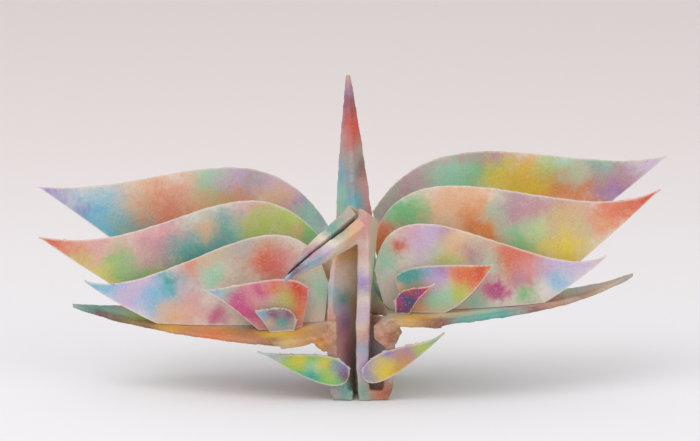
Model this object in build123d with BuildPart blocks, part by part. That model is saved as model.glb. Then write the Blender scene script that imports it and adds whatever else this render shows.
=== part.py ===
from build123d import *
import math
import os

os.makedirs("parts", exist_ok=True)

# Crane folded from one square sheet, with leaf-shaped paper feathers glued upright on its wings.
# The crane faces -Y, its wings spread along X, and it stands on the table plane.
# Left and right are as seen from the front. All sizes in millimetres and degrees.

# Sheet and its layers
sheet = 75.0
paper = 0.25
film = 0.05
wing_ply = 0.6
flap_ply = 0.4
panel_ply = 0.75
point_ply = 1.0
neck_tip_ply = 0.6
join_ply = 0.6
web_ply = 1.3

# Folded base of the sheet: a point of half a side, wings of 45 degrees at the tip
point_length = sheet / 2
root_half = point_length * 0.236
corner_half = point_length * 0.2685
corner_run = point_length * 0.165
flap_top = root_half * 0.44
flap_meeting = 4.1

# Body
foot_half_width = 3.6
foot_half_length = 7.3
toe_in = 0.5
toe_height = 1.8
hinge_half_width = 3.8
hinge_height = 10.2
hump_half_width = 1.7
hump_half_length = 4.6
hump_base_front = 6.0
hump_front = 2.2
hump_height = 13.0
peak_height = 16.8
valley_share = 0.5
join_left = -2.0
join_right = 0.5
join_rear = 4.6
join_outside = 3.2
join_front = 6.9

# Wings, as heights of the upper surface on the middle line from root to tip
left_wing_reach = 36.1
left_wing_heights = (9.9, 9.2, 9.0, 9.4, 10.8)
left_wing_pitch = 7.0
right_wing_reach = 34.0
right_wing_heights = (10.7, 10.6, 10.9, 11.9, 14.7)
right_wing_pitch = 0.0
wing_root = 3.1
wing_slit = 0.3

# Bulges of the fold at the front of each wing's root
bulge_length = 3.4
bulge_front = 9.3
bulge_facets = 7
left_bulge = (-4.4, 7.6)
left_bulge_radii = (1.5, 1.3)
right_bulge = (3.2, 8.7)
right_bulge_radii = (1.9, 1.9)

# Neck and head: a narrow point folded along its middle, open to the front, then folded over
neck_width = 8.5
neck_height = 38.0
neck_lean = 9.2
neck_shift = 2.0
neck_foot = (-0.5, 0.9)
neck_foot_turn = 0.0
neck_top_turn = 52.0
neck_foot_spread = 8.0
neck_top_spread = 28.0
fold_roll_foot = 0.4
fold_roll_top = 1.0
head_bend = (-0.1, -6.0, 23.6)
head_direction = (-0.62, -0.56, -0.49)
head_lap = 1.48
head_ply = 1.5
beak_ply = 0.75
head_slit = 0.5
beak_slit = 0.3
head_width = 3.3
beak_width = 1.5
head_pivot = (-0.2, -6.2, 22.6)
head_roll = -34.0

# Tail: the same point, open to the rear
tail_width = 8.2
tail_height = 38.6
tail_lean = 7.6
tail_shift = -1.6
tail_foot_y = -0.7
tail_foot_spread = 12.0
tail_top_spread = 32.0
tail_tip_ply = 0.3


def rear_rise(side):
    return math.radians(left_wing_pitch if side < 0 else right_wing_pitch)


def wing_curve(side):
    """Points of the wing's upper surface on its middle line, from root to tip."""
    reach = left_wing_reach if side < 0 else right_wing_reach
    heights = left_wing_heights if side < 0 else right_wing_heights
    shares = (0.0, 0.2, 0.45, 0.72, 1.0)
    return [(side * (wing_root + share * (reach - wing_root)), height) for share, height in zip(shares, heights)]


def wing_layer(side, upper, lower, outlines):
    """One layer of a wing between two depths under its upper surface, inside plan outlines."""
    curve = wing_curve(side)
    run = (0.0, math.cos(rear_rise(side)), math.sin(rear_rise(side)))
    with BuildPart() as layer:
        with BuildSketch(Plane.XZ):
            with BuildLine():
                over = Spline(*[(x, z - upper) for x, z in curve])
                under = Spline(*[(x, z - lower) for x, z in curve])
                Line(over @ 0, under @ 0)
                Line(over @ 1, under @ 1)
            make_face()
        extrude(amount=15, dir=run, both=True)
        with BuildSketch(Plane.XY):
            for outline in outlines:
                with BuildLine():
                    Polyline(*outline, close=True)
                make_face()
        extrude(amount=30, mode=Mode.INTERSECT)
    return layer.part


def wing(side):
    """Kite-shaped wing: smooth above, two turned-in layers meeting on the middle line below."""
    reach = left_wing_reach if side < 0 else right_wing_reach
    hinge = side * hinge_half_width
    corner = side * (hinge_half_width + corner_run)
    root = side * wing_root
    tip = side * reach
    kite = [(root, -root_half), (hinge, -root_half), (corner, -corner_half), (tip, -0.2)]
    kite += [(tip, 0.2), (corner, corner_half), (hinge, root_half), (root, root_half)]
    slit = [(corner, -wing_slit / 2), (tip, -wing_slit / 2), (tip, wing_slit / 2), (corner, wing_slit / 2)]
    front_flap = [(hinge, -root_half), (corner, -corner_half), (hinge, -flap_top)]
    rear_flap = [(hinge, root_half), (corner, corner_half), (hinge, flap_top)]
    with BuildPart() as whole:
        add(wing_layer(side, 0.0, wing_ply, [kite]))
        add(wing_layer(side, wing_ply / 2, wing_ply * 2, [slit]), mode=Mode.SUBTRACT)
        add(wing_layer(side, wing_ply / 2, wing_ply + flap_ply, [front_flap, rear_flap]))
    return whole.part


def vee(spine, turn, spread, width, ply, roll=0.0):
    """Plan section of a point folded along its middle; turn is its opening, from -Y towards -X.

    The second arm's free edge is rolled in, thicker on its inside by roll.
    """
    middle = math.radians(turn)
    outer, inner, starts = [], [], []
    for arm in (1, -1):
        angle = middle + arm * math.radians(spread)
        along = (-math.sin(angle), -math.cos(angle))
        out = (-arm * math.cos(angle) * ply / 2, arm * math.sin(angle) * ply / 2)
        end = (spine[0] + along[0] * width, spine[1] + along[1] * width)
        starts.append((spine[0] + out[0], spine[1] + out[1]))
        outer.append((end[0] + out[0], end[1] + out[1]))
        inside = 1.0 if arm > 0 else 1.0 + 2 * roll / ply
        inner.append((end[0] - out[0] * inside, end[1] - out[1] * inside))
    deep = ply / 2 / math.sin(math.radians(spread))
    apex = (spine[0] - math.sin(middle) * deep, spine[1] - math.cos(middle) * deep)
    return [starts[0], outer[0], inner[0], apex, inner[1], outer[1], starts[1]]


# Height of the unbent neck where the head's two layers start, a little past the fold
head_start_height = head_bend[2] + head_lap


def neck_line(share):
    """Spine and turn of the unbent neck at a share of its height; it turns to one side on the way up."""
    shift = neck_foot[0] + (neck_shift - neck_foot[0]) * min(1.0, 1.6 * share)
    spine = (shift, neck_foot[1] - neck_lean * share)
    turn = neck_foot_turn + (neck_top_turn - neck_foot_turn) * min(1.0, 1.7 * share) ** 1.1
    return spine, turn


def neck_section(share):
    """Plan section of the unbent neck at a share of its height."""
    spine, turn = neck_line(share)
    spread = neck_foot_spread + (neck_top_spread - neck_foot_spread) * min(1.0, 2.5 * share)
    ply = point_ply + (neck_tip_ply - point_ply) * max(0.0, share - 0.3) / 0.7
    roll = fold_roll_foot + (fold_roll_top - fold_roll_foot) * min(1.0, 4 * share)
    return vee(spine, turn, spread, neck_width * (1 - 0.9 * share), ply, roll * (1 - share))


def head_section(share):
    """Plan section of the neck's end before it is turned over: two close layers with a slit between them."""
    spine, turn = neck_line(share)
    along = (share * neck_height - head_start_height) / (neck_height - head_start_height)
    ply = head_ply + (beak_ply - head_ply) * along
    width = head_width + (beak_width - head_width) * along
    slit = (head_slit + (beak_slit - head_slit) * along) / 2
    edge = slit + ply
    fold = width / 4
    sine = math.sin(math.radians(turn))
    cosine = math.cos(math.radians(turn))
    section = [(0, -edge), (width, -edge), (width, -slit), (fold, -slit)]
    section += [(fold, slit), (width, slit), (width, edge), (0, edge)]
    return [(spine[0] - sine * d + cosine * s, spine[1] - cosine * d - sine * s) for d, s in section]


def tail_section(share):
    """Plan section of the tail at a share of its height."""
    spine = (tail_shift * share, tail_foot_y + (tail_lean - tail_foot_y) * share)
    spread = tail_foot_spread + (tail_top_spread - tail_foot_spread) * min(1.0, 1.8 * share)
    ply = point_ply + (tail_tip_ply - point_ply) * share
    return vee(spine, 180.0, spread, tail_width * (1 - 0.94 * share), ply)


# Neck below the fold of the head
head_axis = Vector(*head_direction).normalized()
neck_end = Vector(neck_shift, neck_foot[1] - neck_lean, neck_height)
neck_axis = (neck_end - Vector(*head_bend)).normalized()
crease = Plane(origin=head_bend, z_dir=(neck_axis - head_axis).normalized())
point_shares = (0.0, 0.2, 0.4, 0.6, 1.0)

with BuildPart() as neck:
    for share in point_shares:
        with BuildSketch(Plane.XY.offset(share * neck_height)):
            with BuildLine():
                Polyline(*neck_section(share), close=True)
            make_face()
    loft()
    split(bisect_by=crease, keep=Keep.BOTTOM)

# Head: the end of the neck, turned over in the fold
with BuildPart() as head:
    head_start = head_start_height / neck_height
    for share in (head_start, (head_start + 1) / 2, 1.0):
        with BuildSketch(Plane.XY.offset(share * neck_height)):
            with BuildLine():
                Polyline(*head_section(share), close=True)
            make_face()
    loft()
    mirror(about=crease, mode=Mode.REPLACE)

# Tail
with BuildPart() as tail:
    for share in point_shares:
        with BuildSketch(Plane.XY.offset(share * tail_height)):
            with BuildLine():
                Polyline(*tail_section(share), close=True)
            make_face()
    loft()

# Hump between the wings: two long faces, with a valley fold at the front and at the rear
with BuildPart() as hump:
    for inset in (0.0, panel_ply):
        for height, half_width, front, rear in (
            (hinge_height, hinge_half_width, hump_base_front, root_half),
            (hump_height, hump_half_width, hump_front, hump_half_length),
        ):
            across = half_width - inset
            front = front - inset
            rear = rear - inset
            with BuildSketch(Plane.XY.offset(height - inset)):
                with BuildLine():
                    Polyline(
                        (across, -front),
                        (0, -front * valley_share),
                        (-across, -front),
                        (-across, rear),
                        (0, rear * valley_share),
                        (across, rear),
                        close=True,
                    )
                make_face()
        loft(
            sections=[*hump.pending_faces, Vertex(0, 0, peak_height - 2 * inset)],
            ruled=True,
            mode=Mode.ADD if inset == 0.0 else Mode.SUBTRACT,
        )
        hump.pending_faces = []

# Side panels under the wings, standing on the table, and the folds along their lower edges
toe_half_length = foot_half_length + (root_half - foot_half_length) * toe_height / hinge_height
with BuildPart() as sides:
    with BuildSketch(Plane.XY):
        Rectangle(2 * (foot_half_width - toe_in), 2 * foot_half_length)
    with BuildSketch(Plane.XY.offset(toe_height)):
        Rectangle(2 * foot_half_width, 2 * toe_half_length)
    with BuildSketch(Plane.XY.offset(hinge_height)):
        Rectangle(2 * hinge_half_width, 2 * root_half)
    loft(ruled=True)
    with BuildSketch(Plane.XY.offset(web_ply)):
        Rectangle(2 * (foot_half_width - panel_ply - toe_in / 3), 4 * foot_half_length)
    with BuildSketch(Plane.XY.offset(hinge_height)):
        Rectangle(2 * (hinge_half_width - panel_ply), 4 * foot_half_length)
    loft(ruled=True, mode=Mode.SUBTRACT)
    with Locations((-0.35, 0, 0)):
        Box(1.3, 4 * foot_half_length, 4 * web_ply, mode=Mode.SUBTRACT)

# Inner layers between the neck's lower edges and the side panels
with BuildPart() as joins:
    for inside, outside in ((join_left, -join_outside), (join_right, join_outside)):
        with BuildSketch(Plane.XY.offset(web_ply / 2)):
            with BuildLine():
                Polyline(
                    (inside, -join_rear),
                    (outside, -join_front),
                    (outside, join_ply - join_front),
                    (inside, join_ply - join_rear),
                    close=True,
                )
            make_face()
    extrude(amount=hinge_height - web_ply / 2 + paper)

# Turned-in flaps on the outside of the panels, meeting on the middle line
with BuildPart() as side_flaps:
    with BuildSketch(Plane.XY):
        Rectangle(2 * (foot_half_width + flap_ply - toe_in), 2 * foot_half_length)
    with BuildSketch(Plane.XY.offset(toe_height)):
        Rectangle(2 * (foot_half_width + flap_ply), 2 * toe_half_length)
    with BuildSketch(Plane.XY.offset(hinge_height)):
        Rectangle(2 * (hinge_half_width + flap_ply), 2 * root_half)
    loft(ruled=True)
    with BuildSketch(Plane.XY):
        Rectangle(2 * (foot_half_width - flap_ply), 4 * foot_half_length)
    extrude(amount=hinge_height, mode=Mode.SUBTRACT)
    with BuildSketch(Plane.YZ):
        with BuildLine():
            Polyline(
                (-2 * root_half, -1),
                (-2 * root_half, hinge_height),
                (-flap_top, hinge_height),
                (0, flap_meeting),
                (flap_top, hinge_height),
                (2 * root_half, hinge_height),
                (2 * root_half, -1),
                close=True,
            )
        make_face()
    extrude(amount=20, both=True, mode=Mode.INTERSECT)

# Crumpled bulge of the fold at the front of each wing's root
with BuildPart() as bulges:
    for centre, radii in ((left_bulge, left_bulge_radii), (right_bulge, right_bulge_radii)):
        for back, share in ((0.0, 0.45), (0.15, 0.85), (0.4, 1.0), (1.0, 0.8)):
            corners = []
            for facet in range(bulge_facets):
                angle = math.tau * facet / bulge_facets
                across = centre[0] + radii[0] * share * math.cos(angle)
                corners.append((across, centre[1] + radii[1] * share * math.sin(angle)))
            with BuildSketch(Plane.XZ.offset(bulge_front - bulge_length * back)):
                with BuildLine():
                    Polyline(*corners, close=True)
                make_face()
        loft(ruled=True)

# The whole folded sheet
with BuildPart() as folded_crane:
    add(sides.part)
    add(side_flaps.part)
    add(joins.part)
    add(hump.part)
    add(neck.part)
    add(head.part.rotate(Axis(head_pivot, head_direction), head_roll))
    add(tail.part)
    add(wing(-1))
    add(wing(1))
    add(bulges.part)


def cut_leaf(name, edges, plan, lean, side):
    """Leaf cut from flat paper by its front outline and bent to a plan arc; on a wing it ends on the wing."""
    tilt = math.radians(lean)
    with BuildPart() as leaf:
        with BuildSketch(Plane.XZ):
            with BuildLine():
                for points in edges:
                    Bezier(*points)
            make_face()
        extrude(amount=25, both=True)
        with BuildSketch(Plane.XY):
            with BuildLine():
                ThreePointArc(*plan)
                Line(plan[2], (plan[2][0], plan[2][1] + paper))
                ThreePointArc(*[(x, y + paper) for x, y in reversed(plan)])
                Line((plan[0][0], plan[0][1] + paper), plan[0])
            make_face()
        extrude(amount=60, dir=(0, math.sin(tilt), math.cos(tilt)), mode=Mode.INTERSECT)
        if side != 0:
            run = (0.0, math.cos(rear_rise(side)), math.sin(rear_rise(side)))
            with BuildSketch(Plane.XZ):
                with BuildLine():
                    seat = Spline(*[(x, z + film) for x, z in wing_curve(side)])
                    Polyline(seat @ 1, (side * 60, (seat @ 1).Y), (side * 60, -20), ((seat @ 0).X, -20), seat @ 0)
                make_face()
            extrude(amount=20, dir=run, both=True, mode=Mode.SUBTRACT)
    leaf.part.label = name
    return leaf.part


def wing_feather(
    name, side, tip, tip_pull, heel_pull, heel, heel_foot, belly, foot, near, far, bow, lean, base=5.0
):
    """Feather standing on a wing. Points are distances out from the middle and heights."""
    back = 10.0 * math.tan(math.radians(lean))
    edges = [
        [tip, tip_pull, heel_pull, heel],
        [heel, (heel_foot, base)],
        [(heel_foot, base), (foot, base)],
        [(foot, base), belly, tip],
    ]
    edges = [[(side * x, z) for x, z in points] for points in edges]
    plan = [
        (side * (heel[0] - 3), near - back),
        (side * (heel[0] + tip[0]) / 2, (near + far) / 2 + bow - back),
        (side * (tip[0] + 3), far - back),
    ]
    return cut_leaf(name, edges, plan, lean, side)


def breast_leaf(name, side, tip, tip_pull, end_pull, end, belly_end, belly, reach):
    """Leaf glued to the front of the body's side panel, round at the neck and pointed outside."""
    slope = (root_half - foot_half_length) / hinge_height
    lean = -math.degrees(math.atan(slope))
    edges = [
        [tip, tip_pull, end_pull, end],
        [end, belly_end, belly, tip],
    ]
    edges = [[(side * x, z) for x, z in points] for points in edges]
    front = -foot_half_length - film - paper * 1.02
    seat = foot_half_width - panel_ply / 2
    inside = (seat - end[0] + 3) / (tip[0] + 2 - seat)
    plan = [
        (side * (end[0] - 3), front - reach * inside**2),
        (side * seat, front),
        (side * (tip[0] + 2), front - reach),
    ]
    return cut_leaf(name, edges, plan, lean, 0)


# Feathers of the left wing, from the rear to the front
pieces = [
    wing_feather(
        "left_rear_feather", -1,
        tip=(40.5, 24.8), tip_pull=(25.2, 23.2), heel_pull=(11.9, 34.2), heel=(3.5, 18.8),
        heel_foot=5.2, belly=(30.0, 17.5), foot=14.0, near=3.2, far=2.6, bow=0.5, lean=6.0,
    ),
    wing_feather(
        "left_second_feather", -1,
        tip=(39.9, 19.7), tip_pull=(23.9, 15.9), heel_pull=(13.7, 32.6), heel=(3.4, 16.9),
        heel_foot=5.1, belly=(33.0, 14.3), foot=17.0, near=-0.5, far=-3.5, bow=0.8, lean=3.0,
    ),
    wing_feather(
        "left_third_feather", -1,
        tip=(34.3, 14.4), tip_pull=(24.6, 10.8), heel_pull=(8.1, 29.1), heel=(4.0, 13.9),
        heel_foot=5.0, belly=(30.5, 11.0), foot=17.0, near=-4.0, far=-4.2, bow=0.8, lean=1.0,
    ),
    wing_feather(
        "left_small_feather", -1,
        tip=(19.5, 13.6), tip_pull=(16.9, 13.2), heel_pull=(8.1, 16.6), heel=(6.4, 13.5),
        heel_foot=8.0, belly=(16.5, 12.4), foot=9.0, near=-5.2, far=-6.0, bow=0.3, lean=0.0,
    ),
    wing_feather(
        "left_tiny_feather", -1,
        tip=(13.1, 11.1), tip_pull=(11.8, 11.2), heel_pull=(8.7, 12.3), heel=(8.0, 10.1),
        heel_foot=8.6, belly=(11.4, 9.2), foot=9.2, near=-6.2, far=-6.8, bow=0.1, lean=0.0,
    ),
]

# Feathers of the right wing, from the rear to the front
pieces += [
    wing_feather(
        "right_rear_feather", 1,
        tip=(38.5, 28.7), tip_pull=(26.3, 25.5), heel_pull=(9.5, 35.3), heel=(1.5, 21.5),
        heel_foot=5.2, belly=(32.0, 23.0), foot=9.0, near=3.2, far=2.6, bow=0.5, lean=6.0,
    ),
    wing_feather(
        "right_second_feather", 1,
        tip=(37.0, 25.7), tip_pull=(26.7, 19.2), heel_pull=(5.4, 33.4), heel=(1.5, 18.6),
        heel_foot=5.1, belly=(31.0, 19.2), foot=14.0, near=-0.5, far=-3.5, bow=0.8, lean=3.0,
    ),
    wing_feather(
        "right_third_feather", 1,
        tip=(30.4, 17.6), tip_pull=(22.8, 12.9), heel_pull=(3.8, 29.8), heel=(2.3, 15.6),
        heel_foot=5.0, belly=(28.2, 14.6), foot=13.0, near=-4.0, far=-4.2, bow=0.8, lean=1.0,
    ),
    wing_feather(
        "right_small_feather", 1,
        tip=(16.3, 16.8), tip_pull=(13.2, 16.2), heel_pull=(5.7, 17.4), heel=(4.2, 15.0),
        heel_foot=5.6, belly=(12.6, 10.6), foot=8.6, near=-5.2, far=-6.0, bow=0.3, lean=0.0, base=10.2,
    ),
    wing_feather(
        "right_tiny_feather", 1,
        tip=(9.2, 14.5), tip_pull=(7.6, 13.6), heel_pull=(4.9, 14.6), heel=(4.2, 12.4),
        heel_foot=4.2, belly=(4.9, 11.6), foot=4.7, near=-6.2, far=-6.8, bow=0.1, lean=0.0,
    ),
]

# Leaves at the foot of the neck
pieces += [
    breast_leaf(
        "left_breast_leaf", -1,
        tip=(12.7, 6.8), tip_pull=(9.9, 5.2), end_pull=(2.6, 7.4), end=(1.4, 3.9),
        belly_end=(1.5, 0.2), belly=(6.6, 2.3), reach=1.0,
    ),
    breast_leaf(
        "right_breast_leaf", 1,
        tip=(10.4, 9.1), tip_pull=(7.4, 6.5), end_pull=(2.0, 7.8), end=(0.1, 4.0),
        belly_end=(0.3, 0.6), belly=(4.4, 2.6), reach=1.0,
    ),
]

folded_crane.part.label = "folded_crane"
pieces.insert(0, folded_crane.part)

# The frame: the middle of the whole crane's box, on the table
box = Compound(pieces).bounding_box()
middle = Location((-box.center().X, -box.center().Y, -box.min.Z))
for piece in pieces:
    placed = piece.moved(middle)
    placed.label = piece.label
    export_step(placed, f"parts/{piece.label}.step")
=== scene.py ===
import math

import bpy
import numpy as np
from mathutils.bvhtree import BVHTree
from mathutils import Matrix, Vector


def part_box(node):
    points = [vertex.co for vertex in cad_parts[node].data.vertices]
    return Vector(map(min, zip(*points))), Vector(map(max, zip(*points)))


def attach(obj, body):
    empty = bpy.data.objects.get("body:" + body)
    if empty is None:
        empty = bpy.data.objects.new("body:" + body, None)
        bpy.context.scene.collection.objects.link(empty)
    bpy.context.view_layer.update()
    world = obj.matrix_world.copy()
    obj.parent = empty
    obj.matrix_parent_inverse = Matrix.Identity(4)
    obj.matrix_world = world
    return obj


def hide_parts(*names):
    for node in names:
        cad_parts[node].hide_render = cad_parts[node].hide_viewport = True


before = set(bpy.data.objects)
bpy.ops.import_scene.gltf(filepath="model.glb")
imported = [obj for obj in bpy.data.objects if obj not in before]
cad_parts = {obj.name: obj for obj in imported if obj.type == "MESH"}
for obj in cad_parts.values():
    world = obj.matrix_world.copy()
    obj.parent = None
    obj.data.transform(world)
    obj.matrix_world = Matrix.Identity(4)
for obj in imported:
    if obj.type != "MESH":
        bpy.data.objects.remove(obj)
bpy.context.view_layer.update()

# Folded crane
# One square sheet folded into the body, the neck with its head, the tail and the two wings. The layers
# lie close and the folds are pressed by hand, so every edge is round and soft and the faces are uneven.
bpy.ops.object.select_all(action="DESELECT")
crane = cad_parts["folded_crane"].copy()
crane.data = crane.data.copy()
crane.name = "crane_sheet"
bpy.context.collection.objects.link(crane)
crane.parent = None
crane.hide_render = False
bpy.context.view_layer.objects.active = crane
crane.select_set(True)
bpy.ops.object.mode_set(mode="EDIT")
bpy.ops.mesh.select_all(action="SELECT")
bpy.ops.mesh.remove_doubles(threshold=0.000002)
bpy.ops.object.mode_set(mode="OBJECT")
soften = crane.modifiers.new("layers", "REMESH")
soften.mode = "VOXEL"
soften.voxel_size = 0.00011
bpy.ops.object.modifier_apply(modifier="layers")
press = crane.modifiers.new("press", "SMOOTH")
press.factor = 0.5
press.iterations = 24
bpy.ops.object.modifier_apply(modifier="press")
thin = crane.modifiers.new("thin", "DECIMATE")
thin.ratio = 0.23
bpy.ops.object.modifier_apply(modifier="thin")

# The beak narrows to a point, and the near layer of the head carries on past the far one. Lengths are
# in metres, and a start is a share of the way from the crest to the tip of the beak.
crest = np.array((0.0016, -0.0053, 0.0225))
beak = np.array((-0.0069, -0.0126, 0.0168))
head_radius = 0.004
taper_start, taper_power = 0.4, 2.2
tip_height = 0.0003
upper_cut, lower_cut = 0.9, 0.3
narrowing = 0.55
lift_start = 0.25
lift_along, lift_up = 0.0001, 0.0006
head_length = np.linalg.norm(beak - crest)
head_line = (beak - crest) / head_length
layers = np.array((0.0, 0.6, 0.8))
layers -= (layers @ head_line) * head_line
layers /= np.linalg.norm(layers)
points = np.array([vertex.co for vertex in crane.data.vertices])
offset = points - crest
along_head = offset @ head_line
across = offset @ layers
aside = np.linalg.norm(offset - np.outer(along_head, head_line), axis=1)
taper = np.clip((along_head / head_length - taper_start) / (1 - taper_start), 0.0, 1.0) ** taper_power
taper[aside > head_radius] = 0.0
from_tip = across - tip_height
cut_back = np.where(from_tip > 0, upper_cut * from_tip, -lower_cut * from_tip)
lift = np.clip((along_head / head_length - lift_start) / (1 - lift_start), 0.0, 1.0)
lift[aside > head_radius] = 0.0
points += np.outer(lift, lift_along * head_line + lift_up * layers)
points -= np.outer(cut_back * taper, head_line) + np.outer(narrowing * from_tip * taper, layers)

# The body bulges where the wings start, and the paper there is crumpled, less and less further out
bulges = ((-0.0034, -0.0062, 0.0076), (0.0042, -0.0062, 0.0087))
bulge_fade, bulge_ends = 0.0022, 1.3
crease_depth, crease_middle = 0.00035, 1.5
falling_creases, rising_creases = (1900.0, 0.0, 1300.0), (-900.0, 0.0, 2300.0)
normals = np.array([vertex.normal for vertex in crane.data.vertices])
creases = np.abs(np.sin(points @ falling_creases)) + np.abs(np.sin(points @ rising_creases))
for bulge in bulges:
    near = np.clip(bulge_ends - np.linalg.norm(points - bulge, axis=1) / bulge_fade, 0.0, 1.0)
    points += (crease_depth * near * (creases - crease_middle))[:, None] * normals
crane.data.vertices.foreach_set("co", points.ravel())
crane.data.update()

# No face is flat: wide dents from the hand that folded it, and a finer crumple
for name, width, height in (("hand", 0.0022, 0.00025), ("crumple", 0.0008, 0.00012)):
    clouds = bpy.data.textures.new(name, "CLOUDS")
    clouds.noise_scale = width
    dents = crane.modifiers.new(name, "DISPLACE")
    dents.texture = clouds
    dents.texture_coords = "LOCAL"
    dents.strength = height
    dents.mid_level = 0.5
    bpy.ops.object.modifier_apply(modifier=name)
bpy.ops.object.shade_smooth()

# The feet stand flat on the table
points = np.array([vertex.co for vertex in crane.data.vertices])
points[:, 2] = np.maximum(points[:, 2], 0.0)
crane.data.vertices.foreach_set("co", points.ravel())
crane.data.update()

# The pressed folds: how far each point stands out from the points around it
# The ridges that stand out are painted pale, partly for the worn core of a pressed fold and partly as a
# painted highlight
fold_height = 0.000016
fold_wear_and_highlight = 0.45
fold_spread = 3
normals = np.array([vertex.normal for vertex in crane.data.vertices])
ends = np.array([edge.vertices for edge in crane.data.edges])
degree = np.bincount(ends.ravel(), minlength=len(points))


def around(values):
    """Mean of each vertex's neighbours."""
    total = np.zeros_like(values)
    np.add.at(total, ends[:, 0], values[ends[:, 1]])
    np.add.at(total, ends[:, 1], values[ends[:, 0]])
    return (total.T / np.maximum(degree, 1)).T


standing = np.einsum("ij,ij->i", points - around(points), normals)
for _ in range(fold_spread):
    standing = (standing + around(standing)) / 2
fold_mark = crane.data.attributes.new("edge", "FLOAT", "POINT")
fold_mark.data.foreach_set("value", np.clip(standing / fold_height, 0.0, 1.0) * fold_wear_and_highlight)

# The paint: all the paper was painted with watercolour before it was folded or cut
MILLIMETRES = 1000.0
PIGMENTS = {
    "cream": "e3d7ca", "peach": "e0ae86", "beige": "c2b196", "grey": "a8a19c",
    "lilac": "c4aed0", "violet": "9079bd", "mauve": "b58494", "plum": "7d4667",
    "rose": "d79a9d", "magenta": "c03f80", "maroon": "7a3f42", "brown": "8c573c",
    "sky": "74b6d6", "cyan": "4fb6c8", "teal": "3f9c98", "navy": "335878",
    "mint": "98d0b4", "green": "70b876", "lime": "adc752", "yellow": "e0c534",
    "ochre": "cc9238", "sienna": "bf7f5c", "orange": "d97c3a", "coral": "d87052", "red": "cc4829",
}


def pigment(name):
    """A pigment as the linear colour that a shader takes."""
    shares = [int(PIGMENTS[name][i:i + 2], 16) / 255 for i in (0, 2, 4)]
    return [s / 12.92 if s < 0.04045 else ((s + 0.055) / 1.055) ** 2.4 for s in shares] + [1.0]


class Paint:
    """A socket of a material that takes part in sums as a number does."""

    def __init__(self, tree, socket):
        self.tree = tree
        self.socket = socket

    def node(self, kind, settings, inputs, output=0):
        """The output of a new node of that kind, with its settings and its inputs by place or name."""
        node = self.tree.nodes.new(kind)
        for name, value in settings.items():
            setattr(node, name, value)
        for place, value in inputs.items():
            if isinstance(value, Paint):
                self.tree.links.new(value.socket, node.inputs[place])
            else:
                node.inputs[place].default_value = value
        return Paint(self.tree, node.outputs[output])

    def sum(self, operation, a, b):
        """Two numbers taken together."""
        return self.node("ShaderNodeMath", {"operation": operation}, {0: a, 1: b})

    def __add__(self, other):
        return self.sum("ADD", self, other)

    def __sub__(self, other):
        return self.sum("SUBTRACT", self, other)

    def __mul__(self, other):
        return self.sum("MULTIPLY", self, other)

    def __truediv__(self, other):
        return self.sum("DIVIDE", self, other)

    def vector(self, operation, other, output=0):
        """Two vectors taken together: output 0 is a vector, output 1 a number."""
        return self.node("ShaderNodeVectorMath", {"operation": operation}, {0: self, 1: other}, output)

    def noise(self, scale, detail, output=0):
        """Noise at this place: output 0 is a number, output 1 a colour."""
        return self.node("ShaderNodeTexNoise", {}, {0: self, 2: scale, 3: detail}, output)

    def ramp(self, low, high, at_low, at_high):
        """A smooth step between two values."""
        settings = {"interpolation_type": "SMOOTHSTEP"}
        return self.node("ShaderNodeMapRange", settings, {0: self, 1: low, 2: high, 3: at_low, 4: at_high})

    def mix(self, below, share, above, blend="MIX"):
        """One colour laid over another by a share."""
        settings = {"data_type": "RGBA", "blend_type": blend}
        return self.node("ShaderNodeMix", settings, {0: share, 6: below, 7: above}, 2)


def paper(name, ground, blots, run, flat):
    """Painted paper. Each blot is a middle and a radius in millimetres and a pigment that ran about."""
    material = bpy.data.materials.new(name)
    material.use_nodes = True
    tree = material.node_tree
    shader = tree.nodes["Principled BSDF"]
    metres = Paint(tree, tree.nodes.new("ShaderNodeTexCoord").outputs["Object"])
    place = metres.vector("MULTIPLY", [MILLIMETRES] * 3)
    ragged_share = 0.4
    cloud = place.noise(scale=0.45, detail=4.0, output=1).vector("SUBTRACT", [0.5] * 3)
    ragged = place.noise(scale=1.5, detail=3.0, output=1).vector("SUBTRACT", [0.5] * 3)
    spread = place.vector("ADD", cloud.vector("MULTIPLY", [run] * 3))
    spread = spread.vector("ADD", ragged.vector("MULTIPLY", [ragged_share * run] * 3))
    if flat:
        spread = spread.vector("MULTIPLY", (1.0, 0.0, 1.0))
    grain = place.noise(scale=1.8, detail=6.0)
    feathering = (grain - 0.5) * 0.6
    colour = pigment(ground)
    for middle, radius, tint in blots:
        far = spread.vector("DISTANCE", middle, 1) / radius + feathering
        colour = far.mix(colour, far.ramp(low=0.0, high=1.9, at_low=0.8, at_high=0.0), pigment(tint))

    # Pigment settles in the hollows between the fibres and leaves the raised ones pale
    fibres = place.noise(scale=4.5, detail=6.0)
    raised = fibres.ramp(low=0.5, high=0.75, at_low=0.0, at_high=0.22)
    colour = place.mix(colour, raised, pigment("cream"))
    settled = place.noise(scale=7.0, detail=4.0)
    hollow = settled.ramp(low=0.50, high=0.72, at_low=0.0, at_high=0.45)
    hollow_tone = (0.62, 0.55, 0.55, 1.0)
    colour = place.mix(colour, hollow, hollow_tone, "MULTIPLY")

    # Cut edges and pressed folds show the unpainted core; along the fold ridges the pale mark is also a
    # painted highlight
    edge = place.node("ShaderNodeAttribute", {"attribute_name": "edge"}, {}, 2)
    pale_core_and_highlight = (edge + feathering).ramp(low=0.30, high=1.0, at_low=0.0, at_high=0.65)
    colour = place.mix(colour, pale_core_and_highlight, pigment("cream"))
    tree.links.new(colour.socket, shader.inputs["Base Color"])
    tooth = fibres * 0.7 + settled * 0.4 + grain * 0.5
    bump = tooth.node("ShaderNodeBump", {}, {"Strength": 0.4, "Distance": 0.0001, "Height": tooth})
    tree.links.new(bump.socket, shader.inputs["Normal"])
    shader.inputs["Roughness"].default_value = 0.92
    shader.inputs["Specular IOR Level"].default_value = 0.2
    return material


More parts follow.
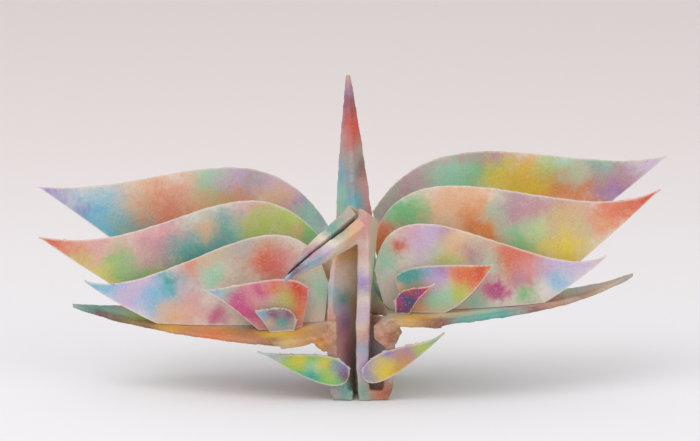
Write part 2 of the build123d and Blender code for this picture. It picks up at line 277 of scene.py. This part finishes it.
def streak(start, end, blots):
    """Blots on a line between two points of the crane: share of the way, radius and pigment."""
    line = list(zip(start, end))
    return [([a + share * (b - a) for a, b in line], radius, tint) for share, radius, tint in blots]


# The wash under the rest: sides of the body, back of the tail and the body, rear and middle of each wing
crane_blots = streak((-3.0, -3.0, 4.0), (-3.0, 10.0, 6.0), [
    (0.00, 3.5, "mint"), (0.30, 3.5, "rose"), (0.60, 3.5, "sky"), (0.90, 3.5, "peach"),
])
crane_blots += streak((5.0, -3.0, 6.0), (5.0, 10.0, 4.0), [
    (0.05, 3.5, "lilac"), (0.35, 3.5, "mint"), (0.65, 3.5, "peach"), (0.95, 3.5, "cyan"),
])
crane_blots += streak((1.0, 9.5, 26.0), (1.0, 6.5, 6.0), [
    (0.05, 3.0, "grey"), (0.30, 3.4, "rose"), (0.60, 3.4, "mint"), (0.90, 3.4, "lilac"),
])
crane_blots += streak((1.0, -1.0, 13.5), (1.0, 5.0, 14.5), [(0.2, 3.0, "peach"), (0.8, 3.0, "sky")])
crane_blots += streak((-30.0, 6.0, 10.0), (-6.0, 8.5, 9.7), [
    (0.00, 4.0, "teal"), (0.20, 4.0, "rose"), (0.40, 4.0, "mint"), (0.60, 4.0, "peach"),
    (0.80, 4.0, "lilac"), (1.00, 4.0, "sky"),
])
crane_blots += streak((-24.0, 1.5, 9.0), (-6.0, 2.0, 9.0), [
    (0.10, 3.5, "lime"), (0.40, 3.5, "rose"), (0.70, 3.5, "sky"), (1.00, 3.5, "peach"),
])
crane_blots += streak((30.0, 6.0, 12.8), (8.0, 8.5, 10.6), [
    (0.00, 4.0, "lilac"), (0.20, 4.0, "mint"), (0.40, 4.0, "peach"), (0.60, 4.0, "sky"),
    (0.80, 4.0, "rose"), (1.00, 4.0, "lime"),
])
crane_blots += streak((24.0, 1.5, 11.3), (8.0, 2.0, 10.6), [
    (0.10, 3.5, "coral"), (0.40, 3.5, "sky"), (0.70, 3.5, "peach"), (1.00, 3.5, "mint"),
])

# Tail, from the tip down: left face, right face, the fold between them
crane_blots += streak((-0.6, 10.3, 37.5), (-1.5, 9.2, 21.5), [
    (0.06, 2.0, "mauve"), (0.18, 2.0, "violet"), (0.36, 2.0, "lilac"), (0.57, 2.2, "grey"),
    (0.76, 2.4, "sky"), (0.93, 2.2, "mint"),
])
crane_blots += streak((0.0, 10.1, 35.0), (1.8, 9.2, 21.5), [
    (0.05, 1.8, "brown"), (0.19, 2.0, "red"), (0.34, 1.8, "red"), (0.50, 1.8, "grey"), (0.66, 1.8, "brown"),
    (0.80, 1.6, "rose"), (0.96, 1.6, "rose"),
])
crane_blots += streak((0.4, 8.2, 25.0), (0.4, 7.2, 22.0), [(0.2, 1.2, "grey"), (0.8, 1.6, "cyan")])

# Neck, from the head down: left edge, inside of the left panel, rolled edge and outside of the right panel
crane_blots += streak((-2.9, -2.0, 17.0), (-1.6, -3.8, 6.0), [
    (0.05, 1.6, "cream"), (0.16, 1.6, "lilac"), (0.36, 1.4, "sky"), (0.48, 1.2, "cream"),
    (0.64, 1.8, "rose"), (0.96, 1.8, "mauve"),
])
crane_blots += streak((-0.8, -2.1, 19.0), (-1.0, -2.4, 4.0), [
    (0.05, 2.0, "ochre"), (0.18, 1.6, "peach"), (0.30, 1.8, "cream"), (0.46, 1.5, "teal"),
    (0.57, 1.3, "lilac"), (0.68, 1.2, "violet"), (0.80, 1.8, "rose"), (0.97, 1.8, "mauve"),
])
crane_blots += streak((1.2, -5.2, 21.0), (1.5, -4.7, 4.5), [
    (0.01, 1.4, "rose"), (0.09, 1.2, "cream"), (0.17, 1.2, "rose"), (0.25, 1.4, "cream"),
    (0.33, 1.2, "lilac"), (0.40, 1.2, "violet"), (0.52, 1.6, "cream"), (0.62, 1.4, "lilac"),
    (0.72, 1.4, "cream"), (0.80, 0.9, "rose"), (0.88, 1.2, "sky"), (0.99, 1.4, "lilac"),
])
crane_blots += streak((2.6, -1.5, 20.0), (3.0, -1.0, 9.0), [
    (0.1, 1.6, "beige"), (0.3, 1.8, "mint"), (0.6, 1.8, "mint"), (0.9, 1.8, "brown"),
])

# Head, from the fold to the tip: near layer, far layer
crane_blots += streak(MILLIMETRES * crest, MILLIMETRES * beak, [
    (0.00, 1.4, "rose"), (0.20, 1.6, "peach"), (0.46, 1.6, "cream"), (0.58, 1.2, "lilac"),
    (0.74, 1.5, "sky"), (1.00, 1.7, "sky"),
])
crane_blots += streak((-1.0, -4.5, 23.6), (-6.9, -11.7, 18.0), [
    (0.03, 1.4, "grey"), (0.28, 1.4, "teal"), (0.48, 1.2, "cream"), (0.74, 1.2, "mauve"),
    (1.00, 1.2, "plum"),
])

# Body: the back under the tail and the feet
crane_blots += streak((3.0, 3.1, 12.6), (4.0, 2.1, 11.3), [(0.0, 1.8, "mint"), (1.0, 1.8, "teal")])
crane_blots += streak((-2.4, -4.4, 1.3), (-0.9, -4.4, 1.3), [(0.0, 1.4, "mauve"), (1.0, 1.4, "teal")])
crane_blots += streak((2.0, -4.4, 1.2), (4.8, -4.4, 1.2), [
    (0.0, 1.4, "teal"), (0.5, 1.3, "coral"), (1.0, 1.6, "brown"),
])

# Left wing: from the tip to the middle and on to the root, then along its front edge
left_middle = (-19.0, -2.2, 8.4)
crane_blots += streak((-35.0, 2.7, 10.6), left_middle, [
    (0.02, 2.4, "grey"), (0.18, 2.6, "teal"), (0.38, 2.4, "mint"), (0.54, 2.4, "lime"),
    (0.77, 3.0, "ochre"), (1.00, 3.2, "ochre"),
])
crane_blots += streak(left_middle, (-6.0, -4.2, 8.5), [
    (0.06, 2.6, "sienna"), (0.30, 2.6, "ochre"), (0.52, 2.8, "brown"), (0.70, 2.4, "ochre"),
    (0.84, 2.4, "yellow"), (0.97, 2.2, "ochre"),
])
crane_blots += streak((-33.0, 1.5, 9.3), (-9.0, -6.9, 7.3), [
    (0.05, 1.6, "maroon"), (0.13, 1.6, "maroon"), (0.22, 1.6, "maroon"), (0.31, 1.6, "maroon"),
    (0.52, 1.6, "sienna"), (0.66, 1.8, "coral"), (0.80, 1.8, "sienna"), (0.94, 1.6, "brown"),
])

# Right wing: from the root to the middle and on to the tip, then along its front edge
right_middle = (22.0, -2.4, 11.2)
crane_blots += streak((5.0, -5.2, 10.7), right_middle, [
    (0.00, 1.6, "sky"), (0.10, 2.0, "yellow"), (0.22, 2.2, "ochre"), (0.45, 2.4, "beige"),
    (0.70, 2.6, "mint"), (1.00, 2.6, "grey"),
])
crane_blots += streak(right_middle, (34.5, 2.7, 13.9), [
    (0.30, 2.4, "grey"), (0.60, 1.8, "brown"), (0.76, 2.4, "beige"), (1.00, 1.8, "grey"),
])
crane_blots += streak((9.4, -7.3, 10.1), (26.0, -1.3, 11.2), [
    (0.00, 1.8, "brown"), (0.12, 1.6, "maroon"), (0.26, 1.7, "teal"), (0.42, 1.7, "teal"),
    (0.58, 1.7, "teal"), (0.80, 1.6, "maroon"), (0.97, 1.6, "sienna"),
])

# Bulges of the body where the wings start
crane_blots += streak((-3.6, -6.2, 7.5), (4.4, -6.2, 8.3), [
    (0.00, 3.0, "sienna"), (-0.10, 1.0, "ochre"), (0.98, 3.0, "sienna"), (1.10, 1.0, "brown"),
])
crane.data.materials.clear()
crane.data.materials.append(paper("crane_wash", "beige", crane_blots, run=2.4, flat=False))
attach(crane, "root")
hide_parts("folded_crane")


# Feathers and breast leaves
# Leaves cut with scissors from the same painted paper, about a quarter of a millimetre thick, bent
# by hand to a shallow curve and glued on by their lower edge. The cut edge shows the unpainted core.
paper_thickness = 0.00025
edge_width = 0.0004
blunt_tip, thin_tip = 0.00012, 0.001
front_levels = (0.25, 0.75)
in_front = -0.1
ripple_height, ripple_share = 0.00008, 0.6
rough_height = 0.00003
widest_run, run_share = 5.0, 0.3
hair, upright = 1e-6, 1e-9


def outline(node, places):
    """Lower edge, upper edge and front at two heights of a leaf, at each place along X."""
    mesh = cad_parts[node].data
    points = np.array([vertex.co for vertex in mesh.vertices])
    ends = np.array([edge.vertices for edge in mesh.edges])
    start, end = points[ends[:, 0]], points[ends[:, 1]]
    width = end[:, 0] - start[:, 0]
    tree = BVHTree.FromPolygons(points.tolist(), [face.vertices for face in mesh.polygons])
    low, high, front = [], [], []
    for x in places:
        across = (start[:, 0] - x) * (end[:, 0] - x) <= 0
        across &= np.abs(width) > upright
        share = (x - start[across, 0]) / width[across]
        heights = start[across, 2] + share * (end[across, 2] - start[across, 2])
        low.append(heights.min())
        high.append(heights.max())
        hits = []
        for level in front_levels:
            z = low[-1] + level * (high[-1] - low[-1])
            hit = tree.ray_cast((x, in_front, z), (0.0, 1.0, 0.0))[0]
            hits.append(hit.y if hit else math.nan)
        front.append(hits)
    return np.array(low), np.array(high), np.array(front)


def crowd(shares):
    """Shares of a length, crowded towards both of its ends."""
    return (1 - np.cos(np.pi * shares)) / 2


def cut_leaf(node, ground, blots, wave, reach=0.0):
    """A sheet pulled to a leaf's outline, bent a little by hand, with the paper's thickness.

    Each blot is a share along the leaf, a share up it, a radius in millimetres and a pigment. The wave
    shifts the ripples, and the reach in metres carries the left end further out.
    """
    columns, rows = 96, 18
    low_corner, high_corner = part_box(node)
    bpy.ops.object.select_all(action="DESELECT")
    bpy.ops.mesh.primitive_grid_add(x_subdivisions=columns, y_subdivisions=rows, size=1.0)
    leaf = bpy.context.object
    leaf.name = node + "_sheet"
    grid = np.array([vertex.co for vertex in leaf.data.vertices])
    along, up = crowd(grid[:, 0] + 0.5), crowd(grid[:, 1] + 0.5)
    first = low_corner[0] + (blunt_tip if node.startswith("left") else hair)
    last = high_corner[0] - (blunt_tip if node.startswith("right") else hair)
    span = last - first
    places = first + crowd(np.linspace(0, 1, columns + 1)) * span
    low, high, front = outline(node, places)
    for level in (0, 1):
        seen = ~np.isnan(front[:, level])
        front[:, level] = np.interp(places, places[seen], front[seen, level])
    x = first + along * span
    bottom, top = np.interp(x, places, low), np.interp(x, places, high)
    z = bottom + up * (top - bottom)
    near, far = np.interp(x, places, front[:, 0]), np.interp(x, places, front[:, 1])
    y = near + (far - near) * (up - front_levels[0]) / (front_levels[1] - front_levels[0])

    # Two crossing ripples that grow towards the free edge, and the scissors' small steps along it. The
    # waves are in radians per metre.
    ripple = np.sin(x * 900 + z * 500 + wave) + ripple_share * np.sin(x * 410 - z * 760 + 2 * wave)
    y += ripple_height * ripple * up
    rough = np.minimum(np.minimum(up, 1 - up), np.minimum(along, 1 - along)) < hair
    rough &= (up > 0.5) & (top - bottom > thin_tip)
    z += np.where(rough, rough_height * np.sin(x * 9000 + 3 * np.sin(x * 2300)), 0.0)
    x = x - reach * (1 - along)
    for vertex, point in zip(leaf.data.vertices, np.column_stack([x, y, z])):
        vertex.co = point

    # The pale cut edge: 1 at the rim, 0 from the edge's width inwards
    inward = np.minimum(np.minimum(1 - up, up) * (top - bottom), np.minimum(along, 1 - along) * span)
    mark = leaf.data.attributes.new("edge", "FLOAT", "POINT")
    mark.data.foreach_set("value", np.clip(1 - inward / edge_width, 0.0, 1.0))
    bpy.ops.object.mode_set(mode="EDIT")
    bpy.ops.mesh.select_all(action="SELECT")
    bpy.ops.mesh.remove_doubles(threshold=0.000004)
    bpy.ops.object.mode_set(mode="OBJECT")
    thick = leaf.modifiers.new("thick", "SOLIDIFY")
    thick.thickness = paper_thickness
    thick.offset = -1.0
    thick.use_rim = True
    bpy.ops.object.modifier_apply(modifier="thick")
    bpy.ops.object.shade_smooth_by_angle(angle=math.radians(50))

    # The paint, with the blots placed in the leaf's box
    size = [MILLIMETRES * (high_corner[i] - low_corner[i]) for i in range(3)]
    start = [MILLIMETRES * low_corner[i] for i in range(3)]
    spots = []
    for share_along, share_up, radius, name in blots:
        middle = (start[0] + share_along * size[0], 0.0, start[2] + share_up * size[2])
        spots.append((middle, radius, name))
    run = min(widest_run, run_share * size[2])
    leaf.data.materials.append(paper(node + "_wash", ground, spots, run, flat=True))
    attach(leaf, "root")
    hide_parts(node)


cut_leaf("left_rear_feather", "cream", [
    (0.50, 0.35, 4.0, "peach"), (0.70, 0.45, 4.0, "mint"), (0.80, 0.25, 4.0, "lilac"),
    (0.60, 0.15, 4.0, "ochre"), (0.90, 0.40, 4.0, "sky"), (0.02, 0.84, 3.0, "violet"),
    (0.19, 0.66, 4.0, "sky"), (0.14, 0.66, 1.6, "violet"), (0.27, 0.55, 4.0, "cyan"),
    (0.36, 0.57, 3.0, "teal"), (0.37, 0.77, 3.5, "peach"), (0.47, 0.69, 3.4, "coral"),
    (0.55, 0.80, 2.6, "peach"), (0.65, 0.82, 3.2, "ochre"), (0.70, 0.87, 2.0, "orange"),
    (0.59, 0.95, 2.4, "mint"), (0.69, 0.98, 2.6, "lilac"), (0.75, 0.95, 2.0, "grey"),
    (0.82, 0.91, 2.4, "lilac"), (0.82, 0.77, 2.5, "peach"), (0.93, 0.79, 2.4, "violet"),
    (0.96, 0.71, 1.6, "violet"), (0.93, 0.66, 2.0, "mint"),
], wave=0.4)
cut_leaf("left_second_feather", "cream", [
    (0.45, 0.25, 4.0, "yellow"), (0.70, 0.35, 4.0, "peach"), (0.85, 0.40, 3.0, "rose"),
    (0.95, 0.30, 3.0, "ochre"), (0.12, 0.58, 2.0, "cream"), (0.15, 0.50, 2.0, "lime"),
    (0.24, 0.41, 3.0, "yellow"), (0.28, 0.50, 2.4, "green"), (0.36, 0.43, 2.4, "green"),
    (0.20, 0.66, 2.4, "rose"), (0.37, 0.66, 3.0, "rose"), (0.42, 0.61, 2.0, "mauve"),
    (0.45, 0.75, 2.0, "rose"), (0.51, 0.54, 2.5, "teal"), (0.59, 0.65, 3.8, "teal"),
    (0.66, 0.76, 2.4, "teal"), (0.57, 0.78, 1.6, "peach"), (0.71, 0.72, 2.0, "mint"),
    (0.75, 0.94, 3.0, "rose"), (0.84, 0.83, 2.6, "lime"), (0.75, 0.77, 2.0, "lime"),
    (0.90, 0.80, 2.0, "lime"), (0.94, 0.72, 2.0, "green"), (0.87, 0.76, 0.9, "peach"),
    (0.09, 0.65, 2.2, "coral"), (0.02, 0.70, 2.0, "red"),
], wave=1.3)
cut_leaf("left_third_feather", "cream", [
    (0.19, 0.40, 2.6, "lilac"), (0.03, 0.49, 1.8, "cyan"), (0.10, 0.44, 1.8, "sky"),
    (0.16, 0.28, 1.4, "lilac"), (0.27, 0.44, 2.4, "lilac"), (0.29, 0.25, 2.0, "sky"),
    (0.37, 0.42, 2.4, "cyan"), (0.35, 0.49, 1.2, "teal"), (0.43, 0.23, 2.0, "rose"),
    (0.36, 0.09, 2.0, "peach"), (0.45, 0.66, 2.0, "coral"), (0.54, 0.85, 2.4, "beige"),
    (0.59, 0.70, 3.0, "beige"), (0.67, 0.89, 2.5, "grey"), (0.78, 0.87, 2.4, "beige"),
    (0.74, 0.70, 2.0, "coral"), (0.80, 0.65, 2.2, "red"), (0.85, 0.70, 1.8, "rose"),
    (0.54, 0.11, 1.4, "magenta"), (0.52, 0.54, 1.4, "mint"), (0.94, 0.63, 2.4, "beige"),
    (0.97, 0.40, 2.0, "mint"),
], wave=2.1)
cut_leaf("left_small_feather", "rose", [
    (0.07, 0.76, 1.7, "sky"), (0.25, 0.74, 1.2, "mint"), (0.33, 0.63, 1.4, "magenta"),
    (0.46, 0.38, 1.2, "magenta"), (0.33, 0.34, 1.0, "magenta"), (0.54, 0.76, 0.8, "magenta"),
    (0.51, 0.57, 0.9, "rose"), (0.70, 0.85, 1.4, "coral"), (0.64, 0.46, 1.2, "beige"),
    (0.80, 0.60, 1.3, "lime"), (0.92, 0.67, 1.5, "red"), (0.90, 0.88, 1.0, "red"),
    (0.90, 0.34, 1.0, "orange"),
], wave=3.0)
cut_leaf("left_tiny_feather", "grey", [
    (0.19, 0.74, 0.7, "sky"), (0.45, 0.74, 0.8, "plum"), (0.34, 0.45, 0.6, "beige"),
    (0.68, 0.43, 0.7, "teal"), (0.81, 0.78, 0.8, "plum"),
], wave=3.6)
cut_leaf("right_rear_feather", "cream", [
    (0.02, 0.59, 3.0, "grey"), (0.08, 0.73, 3.0, "grey"), (0.17, 0.85, 3.0, "mauve"),
    (0.31, 0.96, 3.2, "mauve"), (0.42, 0.96, 3.0, "mauve"), (0.26, 0.81, 2.8, "mint"),
    (0.35, 0.83, 2.2, "green"), (0.29, 0.74, 2.5, "mint"), (0.43, 0.84, 1.8, "lime"),
    (0.48, 0.78, 3.0, "yellow"), (0.55, 0.80, 2.6, "ochre"), (0.55, 0.70, 2.6, "yellow"),
    (0.61, 0.88, 1.6, "lime"), (0.65, 0.76, 2.2, "orange"), (0.72, 0.73, 2.6, "orange"),
    (0.75, 0.79, 1.6, "ochre"), (0.68, 0.91, 2.2, "mint"), (0.78, 0.92, 2.0, "teal"),
    (0.84, 0.90, 2.2, "mint"), (0.71, 0.87, 1.6, "beige"), (0.81, 0.75, 2.6, "mauve"),
    (0.83, 0.70, 1.6, "violet"), (0.87, 0.82, 2.4, "mauve"), (0.95, 0.93, 2.4, "lilac"),
    (0.30, 0.40, 4.0, "peach"), (0.50, 0.40, 4.0, "lime"), (0.20, 0.20, 4.0, "rose"),
    (0.60, 0.50, 3.0, "orange"),
], wave=4.4)
cut_leaf("right_second_feather", "cream", [
    (0.20, 0.40, 4.0, "peach"), (0.35, 0.35, 4.0, "yellow"), (0.30, 0.15, 4.0, "mint"),
    (0.50, 0.30, 3.0, "lime"), (0.08, 0.79, 1.8, "mint"), (0.11, 0.75, 2.4, "green"),
    (0.16, 0.77, 2.2, "green"), (0.25, 0.86, 2.6, "peach"), (0.32, 0.80, 2.6, "peach"),
    (0.35, 0.92, 2.0, "peach"), (0.42, 0.65, 3.0, "orange"), (0.38, 0.67, 2.0, "orange"),
    (0.50, 0.60, 2.0, "mint"), (0.54, 0.53, 2.2, "green"), (0.44, 0.80, 1.8, "mint"),
    (0.50, 0.84, 2.4, "mauve"), (0.58, 0.82, 2.8, "mauve"), (0.66, 0.79, 2.8, "mauve"),
    (0.74, 0.80, 2.2, "rose"), (0.58, 0.62, 1.8, "mint"), (0.67, 0.56, 3.6, "yellow"),
    (0.69, 0.47, 2.4, "yellow"), (0.63, 0.66, 1.4, "beige"), (0.76, 0.66, 2.6, "beige"),
    (0.81, 0.73, 2.0, "peach"), (0.83, 0.83, 2.2, "coral"), (0.89, 0.84, 2.0, "coral"),
    (0.95, 0.92, 2.2, "red"), (0.98, 0.96, 1.4, "red"), (0.03, 0.60, 2.0, "red"),
    (0.02, 0.51, 1.8, "orange"),
], wave=5.2)
cut_leaf("right_third_feather", "cream", [
    (0.05, 0.72, 2.0, "beige"), (0.02, 0.57, 1.6, "mint"), (0.16, 0.88, 2.0, "rose"),
    (0.25, 0.93, 2.0, "lilac"), (0.29, 0.93, 1.2, "mauve"), (0.21, 0.77, 2.2, "lilac"),
    (0.09, 0.72, 0.9, "red"), (0.30, 0.62, 2.0, "lime"), (0.36, 0.77, 2.0, "peach"),
    (0.42, 0.67, 1.4, "mauve"), (0.47, 0.80, 1.6, "beige"), (0.52, 0.52, 1.8, "mint"),
    (0.55, 0.72, 1.8, "coral"), (0.63, 0.59, 2.2, "red"), (0.71, 0.59, 2.0, "coral"),
    (0.60, 0.46, 2.0, "coral"), (0.68, 0.44, 2.0, "rose"), (0.80, 0.57, 2.4, "lilac"),
    (0.90, 0.59, 2.0, "lilac"), (0.77, 0.31, 1.8, "sky"), (0.72, 0.20, 1.4, "cream"),
    (0.44, 0.26, 1.8, "rose"), (0.61, 0.34, 1.2, "mauve"), (0.52, 0.21, 1.2, "magenta"),
    (0.50, 0.29, 0.9, "magenta"), (0.55, 0.13, 0.9, "magenta"), (0.65, 0.18, 1.2, "green"),
    (0.42, 0.08, 1.4, "mint"),
], wave=6.0, reach=0.0006)
cut_leaf("right_small_feather", "peach", [
    (0.32, 0.81, 1.0, "sky"), (0.14, 0.72, 1.7, "teal"), (0.05, 0.81, 1.0, "teal"),
    (0.20, 0.81, 1.2, "teal"), (0.47, 0.81, 1.5, "violet"), (0.43, 0.58, 1.3, "lilac"),
    (0.34, 0.36, 1.2, "mauve"), (0.63, 0.58, 1.4, "peach"), (0.54, 0.27, 1.6, "mint"),
    (0.66, 0.45, 1.0, "lime"), (0.41, 0.22, 1.2, "mint"), (0.72, 0.76, 1.4, "orange"),
    (0.81, 0.67, 1.2, "coral"), (0.68, 0.85, 1.0, "coral"), (0.88, 0.90, 1.4, "red"),
], wave=0.9)
cut_leaf("right_tiny_feather", "plum", [
    (0.13, 0.44, 0.7, "magenta"), (0.64, 0.62, 0.8, "magenta"), (0.32, 0.47, 1.0, "navy"),
    (0.32, 0.78, 0.6, "red"), (0.80, 0.83, 0.6, "red"), (0.96, 0.96, 0.6, "lime"),
], wave=1.7)
# The breast leaves sit in the shade under the wings, and their darker grounds and pigments are partly
# painted shade
cut_leaf("left_breast_leaf", "green", [
    (0.05, 0.90, 1.2, "sky"), (0.22, 0.72, 1.0, "lilac"), (0.35, 0.60, 1.4, "lime"),
    (0.50, 0.40, 1.4, "green"), (0.45, 0.70, 1.0, "yellow"), (0.62, 0.50, 1.0, "mint"),
    (0.60, 0.25, 0.9, "teal"), (0.72, 0.65, 1.1, "yellow"), (0.80, 0.30, 1.0, "lime"),
    (0.92, 0.50, 1.2, "violet"), (0.95, 0.30, 0.8, "plum"),
], wave=2.5)
cut_leaf("right_breast_leaf", "grey", [
    (0.06, 0.35, 1.4, "violet"), (0.16, 0.50, 1.2, "violet"), (0.14, 0.15, 1.2, "grey"),
    (0.22, 0.40, 1.2, "beige"), (0.36, 0.30, 1.6, "yellow"), (0.28, 0.15, 1.0, "yellow"),
    (0.48, 0.52, 1.2, "mauve"), (0.57, 0.42, 1.0, "ochre"), (0.44, 0.22, 0.9, "ochre"),
    (0.64, 0.56, 1.0, "mauve"), (0.75, 0.70, 1.2, "lime"), (0.90, 0.88, 1.0, "green"),
    (0.30, 0.62, 0.8, "violet"), (0.46, 0.72, 0.8, "mauve"),
], wave=3.3)


# Table and light
# A plain pale table that turns a little warmer behind, a broad soft lamp at the upper left, a weak one
# at the right and an even sky.
bpy.ops.object.select_all(action="DESELECT")
bpy.ops.mesh.primitive_plane_add(size=3.0)
table = bpy.context.object
table.name = "table"
table_paint = bpy.data.materials.new("table_paint")
table_paint.use_nodes = True
table_tree = table_paint.node_tree
table_spot = Paint(table_tree, table_tree.nodes.new("ShaderNodeTexCoord").outputs["Object"])
behind = table_spot.node("ShaderNodeSeparateXYZ", {}, {0: table_spot}, 1)
near_tone = (0.86, 0.86, 0.90, 1.0)
far_tone = (0.87, 0.81, 0.81, 1.0)
warmer = behind.ramp(low=-0.02, high=0.22, at_low=0.0, at_high=1.0)
table_tone = behind.mix(near_tone, warmer, far_tone)
table_shader = table_tree.nodes["Principled BSDF"]
table_tree.links.new(table_tone.socket, table_shader.inputs["Base Color"])
table_shader.inputs["Roughness"].default_value = 0.8
table.data.materials.append(table_paint)

world = bpy.data.worlds.new("sky")
bpy.context.scene.world = world
world.use_nodes = True
background = world.node_tree.nodes["Background"]
background.inputs["Color"].default_value = (1.0, 0.98, 0.97, 1.0)
background.inputs["Strength"].default_value = 0.72
crane_middle = 0.015


def soft_lamp(name, place, power, size):
    """A square lamp that looks at the middle of the crane."""
    bpy.ops.object.light_add(type="AREA", location=place)
    lamp = bpy.context.object
    lamp.name = name
    lamp.data.energy = power
    lamp.data.size = size
    away = lamp.location.copy()
    away.z -= crane_middle
    lamp.rotation_euler = away.to_track_quat("Z", "Y").to_euler()


soft_lamp("key", (-0.22, -0.22, 0.42), power=1.0, size=0.35)
soft_lamp("fill", (0.35, -0.30, 0.25), power=0.4, size=0.35)

# A long lens straight in front, looking ten degrees down
camera_data = bpy.data.cameras.new("camera")
camera = bpy.data.objects.new("camera", camera_data)
bpy.context.collection.objects.link(camera)
camera.location = (-0.000353, -0.39492, 0.09145)
camera.rotation_euler = (math.radians(80.0), 0.0, 0.0)
camera_data.sensor_width = 36.0
camera_data.lens = 167.2
camera_data.clip_start = 0.01
bpy.context.scene.camera = camera
bpy.context.scene.view_settings.view_transform = "Standard"
